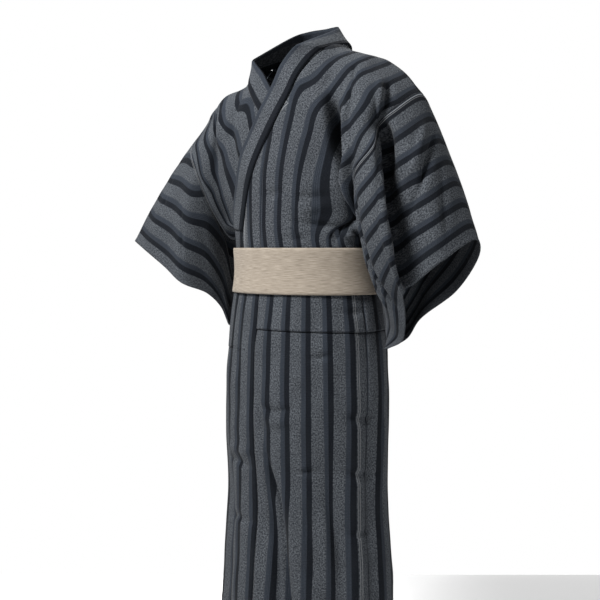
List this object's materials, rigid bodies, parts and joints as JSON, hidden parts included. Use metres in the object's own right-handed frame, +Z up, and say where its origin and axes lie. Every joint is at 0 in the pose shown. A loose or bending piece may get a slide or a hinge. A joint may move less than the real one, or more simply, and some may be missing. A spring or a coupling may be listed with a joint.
{
  "type": "cotton yukata robe",
  "caption": "Striped cotton robe with deep sleeves, wrapped left over right and tied with a stiff belt, in its hollow worn form.",
  "frame": {"origin": "between the shoulders, at the height where the cloth rests on them", "axes": "+Z up along the body, the front faces -Y, the left sleeve is towards +X"},
  "size_m": [0.8579, 0.2924, 1.3],
  "materials": {
    "striped_cotton": "matt crepe with lengthwise grey, blue grey and near black stripes",
    "belt_weave": "matt beige weave with fine crosswise ribs and slubs"
  },
  "bodies": {
    "root": {"back_left": "striped_cotton", "back_right": "striped_cotton", "front_left": "striped_cotton", "front_right": "striped_cotton", "overlap_left": "striped_cotton", "overlap_right": "striped_cotton", "sleeve_left": "striped_cotton", "sleeve_right": "striped_cotton", "collar": "striped_cotton", "collar_cover": "striped_cotton", "belt_band": "belt_weave", "belt_knot": "belt_weave", "belt_end_up": "belt_weave", "belt_end_side": "belt_weave"}
  },
  "joints": []
}
